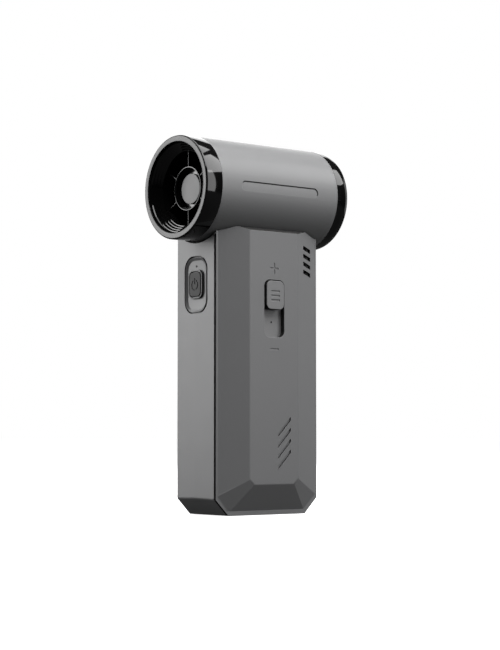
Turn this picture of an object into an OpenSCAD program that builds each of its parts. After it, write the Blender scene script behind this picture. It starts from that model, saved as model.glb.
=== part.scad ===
// Cordless air pump: a ducted fan in a barrel head on a faceted, battery-filled handle.
// Origin: middle of the handle's base. +Z up, air leaves towards -Y, speed slider faces +X.

/* [Head] */
// Outer radius of the barrel and of both end rings
head_r = 23; // [22.5:0.25:26]
// Length of the head from outlet lip to inlet lip
head_l = 82.6; // [80:0.2:92]
// Length of the outlet ring that shows
outlet_ring_l = 8.8; // [8:0.2:10]
// Length of the inlet ring that shows
inlet_ring_l = 7.3; // [6.5:0.1:9]
// Wall of the barrel
barrel_wall = 1.6; // [1.2:0.1:2]
// Width of the outlet lip around the nozzle seat
lip_w = 2.7; // [2.2:0.1:3.5]
// Depth of the nozzle seat
nozzle_seat_l = 1.5; // [1:0.1:2]
// Radius of the rounded edge of the outlet lip
lip_round = 0.55; // [0.3:0.05:0.9]
// Radius of the rounded edge of the inlet ring
inlet_round = 1.8; // [1:0.1:2.2]
// Length of the shallow recess on the barrel's side
recess_l = 44; // [30:1:50]
// Height of the recess on the barrel's side
recess_h = 4.4; // [3:0.2:6]
// Depth of the recess on the barrel's side
recess_d = 0.55; // [0.3:0.05:0.8]

/* [Fan] */
// Space between the duct and the barrel around it
duct_room = 3.6; // [3.2:0.1:4.2]
// Wall of the duct
duct_wall = 1.2; // [1:0.1:1.6]
// Length of the duct
duct_l = 46; // [44:0.5:50]
// Outer radius of the motor hub
hub_r = 10; // [9.6:0.1:10.4]
// Wall of the motor hub
hub_wall = 0.7; // [0.5:0.05:0.9]
// Length of the motor hub
hub_l = 25; // [24.5:0.5:27]
// Number of guide vanes
vane_count = 6; // [5:1:8]
// Thickness of a guide vane
vane_t = 0.9; // [0.7:0.1:1.4]
// Number of impeller blades
blade_count = 9; // [7:1:11]
// Stagger angle of an impeller blade
blade_angle = 38; // [30:1:45]
// Gap between blade tips and duct
tip_gap = 0.35; // [0.3:0.05:0.6]
// Length of the impeller
impeller_l = 15; // [13:0.5:16]
// Radius of the motor shaft
shaft_r = 1.25; // [1:0.05:1.5]
// Outer radius of a motor bearing
bearing_r = 4; // [3.8:0.1:4.3]
// Width of a motor bearing
bearing_w = 3; // [2.5:0.1:3.2]
// Length of the stator
stator_l = 12; // [10:0.5:12]
// Number of stator teeth
tooth_count = 6; // [3:3:6]

/* [Handle] */
// Half width of the handle from front face to rear face
half_y = 29.2; // [28.8:0.2:32]
// Distance of the left rim plane from the duct axis
left_rim_x = 14.6; // [14:0.2:17]
// Distance of the right rim plane from the duct axis
right_rim_x = 13.6; // [13.4:0.2:16]
// How far a side flat stands out from its rim plane
facet_rise = 5; // [4:0.25:6]
// Half width of a side flat
flat_half_y = 13.8; // [12:0.2:16]
// Height at which a side flat begins
flat_z0 = 13.5; // [11:0.5:17]
// Cut on the lower corners of a side flat
flat_cut = 2.4; // [1:0.2:4]
// Cut on the lower corners of the handle
corner_cut = 7.4; // [5:0.2:8]
// Width of the rim beside the slanted facets
rim_w = 1.3; // [0.8:0.1:2]
// Width of the rim below the slanted facets
rim_w_low = 2; // [1.2:0.1:3]
// Depth of the crease along the front and rear faces
crease_d = 0.3; // [0:0.05:0.6]
// Wall of the shell and of the cover
wall = 2.2; // [1.8:0.1:2.4]
// Gap between shell and cover at the parting line
parting_gap = 0.6; // [0.3:0.1:0.9]
// Shadow gap between handle and barrel
saddle_gap = 0.7; // [0.4:0.1:1]
// Number of cooling slots in the cover
vent_count = 4; // [2:1:4]
// Spacing of the cooling slots
vent_pitch = 3.6; // [3.2:0.1:4]
// Number of grip grooves in the cover
groove_count = 4; // [2:1:6]
// Spacing of the grip grooves
groove_pitch = 4.8; // [4:0.2:6]

/* [Controls] */
// Distance of the power button below the barrel
button_drop = 19.15; // [18:0.25:21]
// Width of the power button's cap
button_w = 7.9; // [7:0.1:8.4]
// Height of the power button's cap
button_h = 10.8; // [9:0.2:12]
// Travel of the power button
button_travel = 0.5; // [0.3:0.1:0.6]
// How far the button stands out from the front face
button_proud = 0.85; // [0.6:0.05:1.2]
// Width of the button panel
panel_w = 16.6; // [15:0.2:17.4]
// Height of the button panel
panel_h = 25.4; // [23:0.2:26.4]
// Distance of the slider knob's rest place below the barrel
knob_drop = 23.7; // [22:0.25:25]
// Width of the slider knob
knob_w = 10; // [8:0.2:11]
// Height of the slider knob
knob_h = 12.7; // [11:0.1:13.4]
// Travel of the speed slider
knob_travel = 12; // [8:0.5:12]
// How far the slider knob stands out from the cover
knob_proud = 0.85; // [0.5:0.05:1.5]
// Gap around the slider knob in its slot
knob_gap = 0.7; // [0.4:0.05:0.8]

/* [Battery and boards] */
// Radius of a battery cell
cell_r = 9.2; // [9:0.05:9.4]
// Length of a battery cell
cell_l = 65; // [64:0.5:70]
// Height of the main board
board_h = 34; // [33:0.5:38]
// Thickness of the main board
board_t = 1.6; // [1:0.2:1.8]
// Height of the space for wiring between cells and main board
wiring_h = 5.3; // [5:0.1:8]
// Distance from the top of the main board to the barrel
neck_room = 10.85; // [10.5:0.25:15]

/* [Fasteners] */
// Shank radius of a case screw
screw_r = 1.1; // [0.9:0.05:1.2]
// Head radius of a case screw
screw_head_r = 2.1; // [1.9:0.05:2.2]
// Shank radius of a board screw
small_screw_r = 0.8; // [0.7:0.05:0.9]
// Outer radius of a case screw's boss
boss_r = 2.7; // [2.6:0.05:2.8]

/* [Hidden] */
$fn = 64;
cut = 0.1;             // how far a cutting shape runs past what it cuts
far = 200;             // longer than anything here
fit = 0.05;            // radial gap of parts that are pushed together
seat_gap = 0.2;        // gap of parts that lie in each other
hole_gap = 0.15;       // radial gap of a screw in a clearance hole
pilot_gap = 0.02;      // radial gap of a screw in its thread

// Heights, built up from the base
cradle_floor = 3;
strip_t = 0.3;
cell_z0 = wall + seat_gap + cradle_floor + strip_t;
cell_z1 = cell_z0 + cell_l;
board_z0 = cell_z1 + wiring_h;
board_z1 = board_z0 + board_h;
barrel_foot_z = board_z1 + neck_room;
axis_z = barrel_foot_z + head_r;

// Places along the duct axis
out_y = -head_l / 2;
in_y = head_l / 2;
barrel_y0 = out_y + outlet_ring_l;
barrel_y1 = in_y - inlet_ring_l;
barrel_in_r = head_r - barrel_wall;
nozzle_r = head_r - lip_w;
spigot_r = barrel_in_r - 0.1;
spigot_l = 4;
duct_out_r = barrel_in_r - duct_room;
duct_r = duct_out_r - duct_wall;
duct_y0 = out_y + 6.5;
duct_y1 = duct_y0 + duct_l;
hub_in_r = hub_r - hub_wall;
hub_y0 = duct_y0 + 0.2;
hub_y1 = hub_y0 + hub_l;
hub_end_t = 1.5;
cap_front_y = hub_y0 + 1.9;
cap_step = 0.7;
cap_flange_t = 1.2;
cap_r = hub_in_r - 1.7;
seat_wall = 1.2;
front_bearing_y = cap_front_y + cap_step + cap_flange_t;
rear_bearing_y = hub_y1 - hub_end_t - bearing_w;
race_t = 0.8;
stator_y0 = (front_bearing_y + rear_bearing_y + bearing_w - stator_l) / 2;
stator_r = hub_in_r - fit;
stator_in_r = 4.6;
yoke_t = 1.05;
tooth_w = 2.2;
coil_t = 1.1;
magnet_r = stator_in_r - 0.4;
motor_board_y = stator_y0 + stator_l + coil_t;
motor_board_t = 0.6;
impeller_y0 = hub_y1 + 1.2;
impeller_y1 = impeller_y0 + impeller_l;
nut_l = 2.4;
grille_r = head_r - 2.5;
grille_t = 1.8;
grille_y = in_y - 4.3;
inlet_bore_r = grille_r - 0.9;
lead_r = 0.6;
lead_y = motor_board_y + motor_board_t + lead_r + fit;
lead_pitch = 1.5;
lead_hole_w = 2 * lead_pitch + 2 * lead_r + 0.8;

grille_hub_r = 4.5;
grille_step = 3.4;
grille_bar = 1;
grille_spokes = 12;
ball_count = 7;
ball_r = 0.6;
ball_path_r = (bearing_r - race_t + shaft_r + race_t * 0.8) / 2;
magnet_l = stator_l - 1;
impeller_nose_r = 4.6;
blade_t = 1;
blade_chord = 14;

// Neck that joins barrel and handle
neck_half_x = 9;
neck_half_y = 15.5;
neck_wall = 2;
neck_flange_t = 2;
neck_z0 = board_z1 + 2;
neck_tab_y = neck_half_y + 2.5;
neck_tab_w = 5.4;
neck_tab_t = 2;
neck_tab_l = 8;
neck_screw_z = neck_z0 - neck_tab_l / 2;
neck_screw_l = 9;

// Handle outline
left_flat_x = left_rim_x + facet_rise;
right_flat_x = right_rim_x + facet_rise;
parting_x = right_rim_x - 1;
cover_x0 = parting_x + parting_gap;
crease_x = (parting_x - left_rim_x) / 2;
flat_top_z = barrel_foot_z + 4.55;
top_slope = 0.65;
cover_in_x = right_flat_x - wall;
tongue_t = 1;
tongue_l = 1.2;

rim_w_corner = (rim_w + rim_w_low) * 0.6;
tongue_in = wall + 0.15;

// Marks and slots in the cover
mark_d = 0.25;
mark_w = 0.7;
mark_r = 2.4;
mark_drop = 5.2;
mark_ring_r = 2.4;
groove_d = 0.7;
groove_y0 = 2.2;
groove_y1 = 9.4;
groove_w = 1.6;
groove_z0 = 20;
vent_y0 = 18.3;
vent_y1 = 24.2;
vent_w = 1.75;
vent_lean = 1.5;
vent_z1 = barrel_foot_z - 0.3;

// Power button, from the front face inwards
face_y = -half_y;
button_x = crease_x - 0.1;
button_z = barrel_foot_z - button_drop;
panel_x = crease_x + 0.2;
panel_z = button_z - 0.25;
panel_round = 6;
panel_pocket = 1.3;
panel_rim = 1.1;
panel_ledge = 1.6;
panel_floor_y = face_y + 0.8;
panel_back_y = face_y + panel_pocket;
bezel_t = 1;
bezel_proud = 0.4;
button_round = 2;
flange_y = panel_back_y + 0.3;
flange_t = 1;
flange_w = 0.8;
nub_l = 1;
nub_r = 1.5;
plunger_y = flange_y + flange_t + nub_l;
plunger_l = 2;
plunger_r = 1.7;
switch_w = 6.2;
switch_y = plunger_y + 1;
button_board_y = switch_y + 2.1;
button_board_t = 1;
button_board_half_x = 6.9;
button_board_z0 = button_z - 12.7;
button_board_z1 = button_z + 8.8;
button_post_dx = 4.4;
button_post_z = button_board_z0 + 2.2;
button_post_r = 1.9;
lens_r = 0.5;
lens_z = button_z + button_h / 2 + 2.6;
led_t = 0.8;

// Screws that close the case
case_screw_y = half_y - 5.2;
case_screw_z = [14, button_board_z0 - 5];
case_seat_x = -6;
case_meet_x = 2;
case_screw_l = 17;
head_t = 2;

// Speed slider
knob_z = barrel_foot_z - knob_drop;
knob_round = 2.5;
slot_w = knob_w + 2 * knob_gap;
slot_z1 = knob_z + knob_h / 2 + 0.4;
slot_z0 = knob_z - knob_h / 2 - knob_travel - 0.4;
shutter_x = cover_in_x - 0.3;
shutter_t = 1;
shutter_half_y = slot_w / 2 + 1.1;
shutter_over = 1.2;
shutter_z0 = slot_z0 - shutter_over;
shutter_z1 = slot_z1 + knob_travel + shutter_over;
rail_t = 1.2;
rail_gap = 0.2;
groove_grip_d = 0.35;
grip_w = 0.8;
grip_pitch = 2;
grip_drop = 0.35;
board_x1 = shutter_x - shutter_t - 5.5;
board_x0 = board_x1 - board_t;
board_half_y = 20.8;
board_screw_y = 18;
board_screw_z = [board_z0 + 3, board_z1 - 3];
board_boss_r = 2.2;
lever_half_y = 1;
lever_half_z = 2;
pot_gap = 0.5;
pot_x1 = shutter_x - shutter_t - pot_gap;
pot_z = knob_z - knob_travel / 2;
pot_half_y = 4.6;
pot_half_z = knob_travel / 2 + 6.9;
pot_floor = 1.4;

small_screw_l = 5;
small_head_l = 1.2;
small_boss_r = 2;
small_boss_l = 6;
connector_t = 2.4;
connector_w = 4;
connector_z0 = board_z1 - 7.5;
connector_z1 = board_z1 - 0.5;
cell_plug_w = 3.6;
cell_plug_z0 = board_z0 + 0.6;
cell_plug_z1 = board_z0 + 3.6;
chip_t = 1.2;
controller_w = 7;
controller_y = -4;
controller_z = 14;
transistor_w = 5;
transistor_pitch = 6.5;
transistor_y = -16;
transistor_z = 8.4;
charger_w = 4;
charger_y = 8;
charger_z = 5;
can_r = 3.2;
can_l = 8.5;
can_y = 3.7;
can_z = 5;

// Battery
cell_x = -1.5;
cell_y = cell_r + 0.5;
cradle_x0 = -14.4;
cradle_x1 = cell_x - 1;
cradle_half_y = cell_y + cell_r + 1.4;
cell_clear = 0.15;
cradle_floor_y = half_y - corner_cut - wall * 1.5 - 0.6;
rib_t = 1.6;
rib_z = [20, 38, 56];
rib_half_y = 11;
pad_x0 = cell_x + cell_r + 0.3;
pad_t = 3.2;
pad_half_z = 6;
strip_half = 3.5;
cell_lead_r = 0.75;
cell_lead_z = (cell_plug_z0 + cell_plug_z1) / 2;
cell_lead_x = cell_x + 5;

// Charging port on the rear face
usb_board_t = 1;
usb_z = case_screw_z[1] + 5.8;
usb_shelf_t = 1.6;
usb_half_x = 8;
usb_board_l = 14.6;
usb_w = 8.9;
usb_h = 3.2;
usb_l = 7.3;
usb_screw_dx = 5.8;
usb_screw_y = half_y - 14.6;

// ---- shared shapes ----

// A block from its lowest to its highest corner
module box(low, high) {
  translate(low) cube(high - low);
}

// A solid rod along Y, from y0 to y1
module rod_y(r, y0, y1) {
  translate([0, y0, 0]) rotate([-90, 0, 0]) cylinder(r = r, h = y1 - y0);
}

// A tube along Y, from y0 to y1
module tube_y(r_out, r_in, y0, y1) {
  difference() {
    rod_y(r_out, y0, y1);
    rod_y(r_in, y0 - cut, y1 + cut);
  }
}

// A solid of revolution about Y from points [radius, y]
module turned_y(points) {
  rotate([-90, 0, 0]) rotate_extrude() polygon(points);
}

// A rod along X, from x0 to x1, at a place [y, z]
module rod_x(r, x0, x1, place) {
  translate([x0, place[0], place[1]]) rotate([0, 90, 0]) cylinder(r = r, h = x1 - x0);
}

// A rod from point a to point b
module rod(a, b, r) {
  v = b - a;
  translate(a) rotate([0, acos(v[2] / norm(v)), atan2(v[1], v[0])]) cylinder(r = r, h = norm(v));
}

// A round wire through a list of points, each stretch a little longer so that the bends close
module wire(points, r) {
  for (i = [1 : len(points) - 1]) {
    along = (points[i] - points[i - 1]) / norm(points[i] - points[i - 1]);
    rod(points[i - 1] - along * r / 2, points[i] + along * r / 2, r);
  }
}

// A flat rectangle with round corners, centred
module round_rect(w, h, r) {
  if (w > 2 * r) square([w - 2 * r, h], center = true);
  if (h > 2 * r) square([w, h - 2 * r], center = true);
  for (sx = [-1, 1], sy = [-1, 1])
    translate([sx * (w / 2 - r), sy * (h / 2 - r)]) circle(r = r);
}

// A plate with round corners facing Y: w along X, h along Z
module plate_y(w, h, r, y0, y1, x, z) {
  translate([x, y1, z]) rotate([90, 0, 0]) linear_extrude(y1 - y0) round_rect(w, h, r);
}

// A plate with round corners facing X: w along Y, h along Z
module plate_x(w, h, r, x0, x1, y, z) {
  translate([x0, y, z]) rotate([90, 0, 90]) linear_extrude(x1 - x0) round_rect(w, h, r);
}

// Everything in the head is drawn about the duct axis and lifted here
module in_head() {
  translate([0, 0, axis_z]) children();
}

// Both motor bearings' places along Y
module at_bearings() {
  for (y = [front_bearing_y, rear_bearing_y]) translate([0, y, 0]) children();
}

// Copies at the four corners of the case, as [y, z]
function case_places() = [for (z = case_screw_z, s = [-1, 1]) [s * case_screw_y, z]];
function board_places() = [for (z = board_screw_z, s = [-1, 1]) [s * board_screw_y, z]];

// Outline of the slanted facets in the plane of X and s, where s grows towards the edge of the
// handle. A side flat ends at s_flat, its rim plane begins at s_rim, and w moves each line inwards.
function facet_line(flat_x, rim_x, s_flat, s_rim, w) =
  let (n = [s_rim - s_flat, flat_x - rim_x] / norm([s_rim - s_flat, flat_x - rim_x]),
       shift = w * (1 - n[0]) / n[1])
  [[flat_x - w, s_flat - shift], [rim_x - w, s_rim - shift]];

function facet_outline(s_flat, s_rim, w) =
  let (right = facet_line(right_flat_x, right_rim_x, s_flat, s_rim, w),
       left = facet_line(left_flat_x, left_rim_x, s_flat, s_rim, w))
  [[right[0][0], -far], right[0], right[1], [right[1][0], far],
   [-left[1][0], far], [-left[1][0], left[1][1]], [-left[0][0], left[0][1]], [-left[0][0], -far]];

// A long bar with that outline, s pointing at an angle from +Y towards +Z
module facet_bar(angle, s_flat, s_rim, w) {
  rotate([angle, 0, 0]) translate([0, 0, -far]) linear_extrude(2 * far)
    polygon(facet_outline(s_flat, s_rim, w));
}

// The whole handle as one solid, with every face moved inwards by w
module handle_solid(w) {
  diag = sqrt(2);
  corner_flat = (flat_half_y - flat_z0 - flat_cut) / diag;
  corner_rim = (half_y - corner_cut) / diag - rim_w_corner;
  bend = corner_cut + w * (diag - 1);
  ridge = half_y - w;
  foot = bend - half_y;
  slope = crease_d / (parting_x - crease_x);
  top = flat_top_z - w;
  difference() {
    intersection() {
      for_all_facets(w, corner_flat, corner_rim);
      // outline seen from the side
      rotate([90, 0, 90]) translate([0, 0, -far]) linear_extrude(2 * far)
        polygon([[-ridge, far], [-ridge, bend], [foot, w], [-foot, w], [ridge, bend], [ridge, far]]);
      // creased front and rear faces
      translate([0, 0, -far]) linear_extrude(2 * far) polygon([for (s = [-1, 1])
        each [for (side = [-s, 0, s]) [crease_x + side * far, s * (ridge - abs(side) * slope * far)]]]);
      // slanted tops of the side flats
      rotate([90, 0, 0]) translate([0, 0, -far]) linear_extrude(2 * far)
        polygon([[right_flat_x, -far], [right_flat_x, top], [0, top + top_slope * right_flat_x],
                 [-left_flat_x, top + top_slope * (right_flat_x - left_flat_x)], [-left_flat_x, -far]]);
    }
    in_head() rod_y(head_r + saddle_gap + w, -far, far);
  }
}

module for_all_facets(w, corner_flat, corner_rim) {
  intersection() {
    facet_bar(0, flat_half_y, half_y - rim_w, w);
    facet_bar(180, flat_half_y, half_y - rim_w, w);
    facet_bar(-90, -flat_z0, -rim_w_low, w);
    facet_bar(-45, corner_flat, corner_rim, w);
    facet_bar(-135, corner_flat, corner_rim, w);
  }
}

// The handle's wall from depth w0 to depth w1, between two X planes
module handle_wall(w0, w1, x0, x1) {
  intersection() {
    difference() {
      handle_solid(w0);
      handle_solid(w1);
    }
    box([x0, -far, -far], [x1, far, far]);
  }
}

// ---- housing ----

module main_shell() {
  color("#77787b") difference() {
    union() {
      handle_wall(0, wall, -far, parting_x);
      intersection() {
        handle_solid(wall / 2);
        union() {
          for (p = case_places()) rod_x(boss_r, -left_flat_x, case_meet_x, p);
          for (s = [-1, 1]) rod_x(boss_r, -left_flat_x, -neck_tab_t / 2, [s * neck_tab_y, neck_screw_z]);
          for (z = rib_z)
            box([-left_flat_x, -rib_half_y, z - rib_t / 2], [cradle_x0, rib_half_y, z + rib_t / 2]);
          box([crease_x - usb_half_x, half_y - usb_board_l - wall, usb_z - usb_shelf_t],
              [crease_x + usb_half_x, half_y, usb_z]);
          for (s = [-1, 1]) {
            translate([crease_x + s * usb_screw_dx, usb_screw_y, usb_z - small_boss_l])
              cylinder(r = small_boss_r, h = small_boss_l);
            translate([button_x + s * button_post_dx, 0, button_post_z])
              rod_y(button_post_r, face_y, button_board_y);
          }
        }
      }
    }
    // case screws come in from the left side
    for (p = case_places()) {
      rod_x(screw_head_r + hole_gap, -far, case_seat_x, p);
      rod_x(screw_r + hole_gap, -far, far, p);
      rod_x(boss_r + seat_gap, case_meet_x + cut, far, p);
    }
    for (s = [-1, 1]) {
      rod_x(screw_r + pilot_gap, -neck_screw_l - neck_tab_t, 0, [s * neck_tab_y, neck_screw_z]);
      translate([crease_x + s * usb_screw_dx, usb_screw_y, usb_z - small_boss_l - cut])
        cylinder(r = small_screw_r + pilot_gap, h = small_boss_l + 2 * cut);
      translate([button_x + s * button_post_dx, 0, button_post_z])
        rod_y(small_screw_r + pilot_gap, button_board_y - small_screw_l, button_board_y + cut);
    }
    // the neck slides in from the parting line
    box([-neck_half_x - seat_gap, -neck_half_y - seat_gap, neck_z0 + neck_flange_t],
        [far, neck_half_y + seat_gap, axis_z]);
    // pocket and window of the button panel
    plate_y(panel_w, panel_h, panel_round, face_y - 1, panel_back_y, panel_x, panel_z);
    plate_y(panel_w - 2 * panel_ledge, panel_h - 2 * panel_ledge, panel_round - panel_ledge,
            face_y - 1, face_y + wall + crease_d + cut, panel_x, panel_z);
    // charging port
    plate_y(usb_w + 0.5, usb_h + 0.5, usb_h / 2, half_y - wall - crease_d - cut, half_y + 1, crease_x,
            usb_z + usb_board_t + usb_h / 2);
  }
}

module side_cover() {
  flat_front = right_flat_x + cut;
  color("#6d6e71") difference() {
    union() {
      handle_wall(0, wall, cover_x0, far);
      handle_wall(wall / 2, tongue_in + tongue_t, cover_x0, cover_x0 + 1.5);
      handle_wall(tongue_in, tongue_in + tongue_t, parting_x - tongue_l, cover_x0 + 1.5);
      intersection() {
        handle_solid(wall / 2);
        union() {
          for (p = case_places()) rod_x(boss_r, case_meet_x, right_flat_x, p);
          for (p = board_places()) rod_x(board_boss_r, board_x1, right_flat_x, p);
          for (z = rib_z)
            box([pad_x0 + pad_t, -rib_half_y, z - rib_t / 2], [right_flat_x, rib_half_y, z + rib_t / 2]);
          for (s = [-1, 1])
            box([shutter_x - shutter_t - 0.4, s * (shutter_half_y + rail_gap + rail_t / 2) - rail_t / 2,
                 shutter_z0 - knob_travel - 1],
                [right_flat_x, s * (shutter_half_y + rail_gap + rail_t / 2) + rail_t / 2, shutter_z1 + 1]);
        }
      }
    }
    for (p = case_places())
      rod_x(screw_r + pilot_gap, case_meet_x - cut, case_seat_x + case_screw_l + 1, p);
    for (p = board_places())
      rod_x(small_screw_r + pilot_gap, board_x1 - cut, board_x0 + small_screw_l + 0.5, p);
    // slot of the speed slider
    plate_x(slot_w, slot_z1 - slot_z0, knob_round + knob_gap / 2, cover_in_x - cut, flat_front,
            0, (slot_z0 + slot_z1) / 2);
    // plus above the slot and minus below it
    for (z = [slot_z1 + mark_drop, slot_z0 - mark_drop])
      box([right_flat_x - mark_d, -mark_r, z - mark_w / 2], [flat_front, mark_r, z + mark_w / 2]);
    box([right_flat_x - mark_d, -mark_w / 2, slot_z1 + mark_drop - mark_r],
        [flat_front, mark_w / 2, slot_z1 + mark_drop + mark_r]);
    // slanted grip grooves
    for (i = [0 : groove_count - 1])
      translate([right_flat_x - groove_d, 0, groove_z0 + i * groove_pitch]) rotate([90, 0, 90])
        linear_extrude(groove_d + cut)
          polygon([[groove_y0, 0], [groove_y1, groove_y1 - groove_y0],
                   [groove_y1, groove_y1 - groove_y0 + groove_w], [groove_y0, groove_w]]);
    // cooling slots through the rear facet
    for (i = [0 : vent_count - 1])
      translate([cover_x0 - 1, 0, vent_z1 - i * vent_pitch]) rotate([90, 0, 90])
        linear_extrude(facet_rise + 4)
          polygon([[vent_y0, 0], [vent_y0, -vent_w], [vent_y1, -vent_w - vent_lean], [vent_y1, -vent_lean]]);
  }
}

module barrel() {
  color("#8b8c8f") in_head() difference() {
    union() {
      rod_y(head_r, barrel_y0, barrel_y1);
      box([-neck_half_x, -neck_half_y, neck_z0 - axis_z], [neck_half_x, neck_half_y, 0]);
      box([-neck_half_x, -neck_tab_y - neck_tab_w / 2, neck_z0 - axis_z],
          [neck_half_x, neck_tab_y + neck_tab_w / 2, neck_z0 + neck_flange_t - axis_z]);
      for (s = [-1, 1])
        box([-neck_tab_t / 2, s * neck_tab_y - neck_tab_w / 2, neck_z0 - neck_tab_l - axis_z],
            [neck_tab_t / 2, s * neck_tab_y + neck_tab_w / 2, neck_z0 + cut - axis_z]);
    }
    rod_y(barrel_in_r, barrel_y0 - cut, barrel_y1 + cut);
    // channel for the motor leads
    box([neck_wall - neck_half_x, neck_wall - neck_half_y, neck_z0 - axis_z - cut],
        [neck_half_x - neck_wall, neck_half_y - neck_wall, 0]);
    for (s = [-1, 1])
      rod_x(screw_r + hole_gap, -neck_half_x, neck_half_x, [s * neck_tab_y, neck_screw_z - axis_z]);
    // shallow recess on the side
    plate_x(recess_l, recess_h, recess_h / 2, head_r - recess_d, head_r + 1, 0, 0);
  }
}

// ---- air path ----

// Rises of the stepped funnel inside the outlet ring, as [radius, y]
function funnel(steps) =
  let (y0 = out_y + nozzle_seat_l, rise = (nozzle_r - duct_r) / steps, run = (duct_y0 - 0.9 - y0) / steps)
  [for (i = [0 : steps - 1]) each [[nozzle_r - i * rise, y0 + i * run - (i == 0 ? 0 : run * 0.35)],
                                   [nozzle_r - (i + 1) * rise, y0 + i * run + run * 0.3]]];

module outlet_ring() {
  arc = [for (a = [0 : 22.5 : 90])
    [head_r - lip_round + lip_round * sin(a), out_y + lip_round - lip_round * cos(a)]];
  color("#111113") in_head() turned_y(concat(
    [[nozzle_r, out_y]], arc,
    [[head_r, barrel_y0], [spigot_r, barrel_y0], [spigot_r, barrel_y0 + spigot_l],
     [duct_out_r + fit, barrel_y0 + spigot_l], [duct_out_r + fit, duct_y0], [duct_r, duct_y0]],
    reversed(funnel(4))));
}

function reversed(points) = [for (i = [len(points) - 1 : -1 : 0]) points[i]];

module inlet_ring() {
  arc = [for (a = [0 : 15 : 90])
    [head_r - inlet_round + inlet_round * cos(a), in_y - inlet_round + inlet_round * sin(a)]];
  color("#111113") in_head() turned_y(concat(
    [[head_r, barrel_y1]], arc,
    [[grille_r + 0.1, in_y], [grille_r + 0.1, grille_y], [inlet_bore_r, grille_y],
     [inlet_bore_r, barrel_y1 - spigot_l], [spigot_r, barrel_y1 - spigot_l], [spigot_r, barrel_y1]]));
}

module inlet_grille() {
  color("#1b1b1d") in_head() translate([0, grille_y, 0]) {
    tube_y(grille_r, grille_r - 1.6, 0, grille_t);
    rod_y(grille_hub_r, 0, grille_t);
    for (r = [grille_hub_r + grille_step : grille_step : grille_r - 2])
      tube_y(r + grille_bar / 2, r - grille_bar / 2, 0.2, grille_t - 0.2);
    for (k = [0 : grille_spokes - 1]) rotate([0, k * 360 / grille_spokes, 0])
      box([grille_hub_r - 0.5, 0.2, -grille_bar / 2], [grille_r - 1, grille_t - 0.2, grille_bar / 2]);
  }
}

module inlet_bell() {
  y1 = barrel_y1 - spigot_l;
  flare = [for (a = [0 : 15 : 90])
    [duct_r + (inlet_bore_r - duct_r) * (1 - cos(a)), duct_y1 + (y1 - duct_y1) * sin(a)]];
  color("#2a2b2e") in_head() turned_y(concat(flare,
    [[spigot_r, y1], [spigot_r, y1 - 2]],
    reversed([for (p = flare) if (p[1] < y1 - 2) [p[0] + duct_wall, p[1]]])));
}

module fan_duct() {
  color("#26272a") in_head() difference() {
    union() {
      tube_y(duct_out_r, duct_r, duct_y0, duct_y1);
      tube_y(hub_r, hub_in_r, hub_y0, hub_y1);
      rod_y(hub_in_r + cut, hub_y1 - hub_end_t, hub_y1);
      rod_y(bearing_r + seat_wall, rear_bearing_y, hub_y1);
      for (k = [0 : vane_count - 1]) rotate([0, 90 + k * 360 / vane_count, 0])
        box([hub_r - hub_wall / 2, hub_y0 + 0.4, -vane_t / 2],
            [duct_r + duct_wall / 2, lead_y - 1.5, vane_t / 2]);
    }
    rod_y(bearing_r + pilot_gap, rear_bearing_y - cut, hub_y1 - hub_end_t);
    rod_y(shaft_r + 0.8, rear_bearing_y, hub_y1 + cut);
    // the motor leads leave through the hub and the duct
    translate([0, lead_y, -(duct_out_r + hub_in_r) / 2])
      cube([lead_hole_w, 2.2, duct_out_r], center = true);
  }
}

module hub_cap() {
  y = cap_front_y;
  color("#8f9093") in_head() difference() {
    union() {
      rod_y(cap_r, y, y + cap_step + cut);
      rod_y(hub_in_r - fit, y + cap_step, y + cap_step + cap_flange_t);
      rod_y(bearing_r + seat_wall, y + cap_step, front_bearing_y + bearing_w);
    }
    rod_y(bearing_r + pilot_gap, front_bearing_y, front_bearing_y + bearing_w + cut);
    rod_y(shaft_r + 0.8, front_bearing_y - 1, front_bearing_y + cut);
  }
}

module damper_rings() {
  color("#1a1a1a") in_head() for (y = [duct_y0 + 8.8, duct_y1 - 9.2])
    tube_y(spigot_r + fit, duct_out_r + fit, y, y + 4);
}

// ---- motor ----

module stator_core() {
  color("#9a9ca0") in_head() {
    tube_y(stator_r, stator_r - yoke_t, stator_y0, stator_y0 + stator_l);
    for (k = [0 : tooth_count - 1]) rotate([0, k * 360 / tooth_count, 0]) intersection() {
      union() {
        box([0, stator_y0, -tooth_w / 2], [stator_r - yoke_t / 2, stator_y0 + stator_l, tooth_w / 2]);
        box([0, stator_y0, -tooth_w], [stator_in_r + 0.8, stator_y0 + stator_l, tooth_w]);
      }
      tube_y(stator_r - yoke_t / 2, stator_in_r, stator_y0, stator_y0 + stator_l);
    }
  }
}

module stator_coils() {
  color("#b5622c") in_head() for (k = [0 : tooth_count - 1]) rotate([0, k * 360 / tooth_count, 0])
    difference() {
      box([stator_in_r + 1.2, stator_y0 - coil_t, -tooth_w / 2 - coil_t],
          [stator_r - yoke_t - 0.45, stator_y0 + stator_l + coil_t, tooth_w / 2 + coil_t]);
      box([0, stator_y0 - fit, -tooth_w / 2 - fit],
          [stator_r, stator_y0 + stator_l + fit, tooth_w / 2 + fit]);
    }
}

module motor_board() {
  color("#1f6b3a") in_head()
    tube_y(stator_r, bearing_r + seat_wall + 0.2, motor_board_y, motor_board_y + motor_board_t);
}

module motor_leads() {
  plug_z = (connector_z0 + connector_z1) / 2;
  color("#c8a13a") difference() {
    for (i = [-1 : 1])
      wire([[board_x0 - connector_t, lead_y, plug_z + i * lead_pitch],
            [i * lead_pitch, lead_y, neck_z0 + (i - 2) * lead_pitch],
            [i * lead_pitch + 0.2, lead_y, axis_z - hub_r + 1.7]], lead_r);
    // flush with the connector
    box([board_x0 - connector_t, -far, board_z0], [far, far, board_z1]);
  }
}

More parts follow.
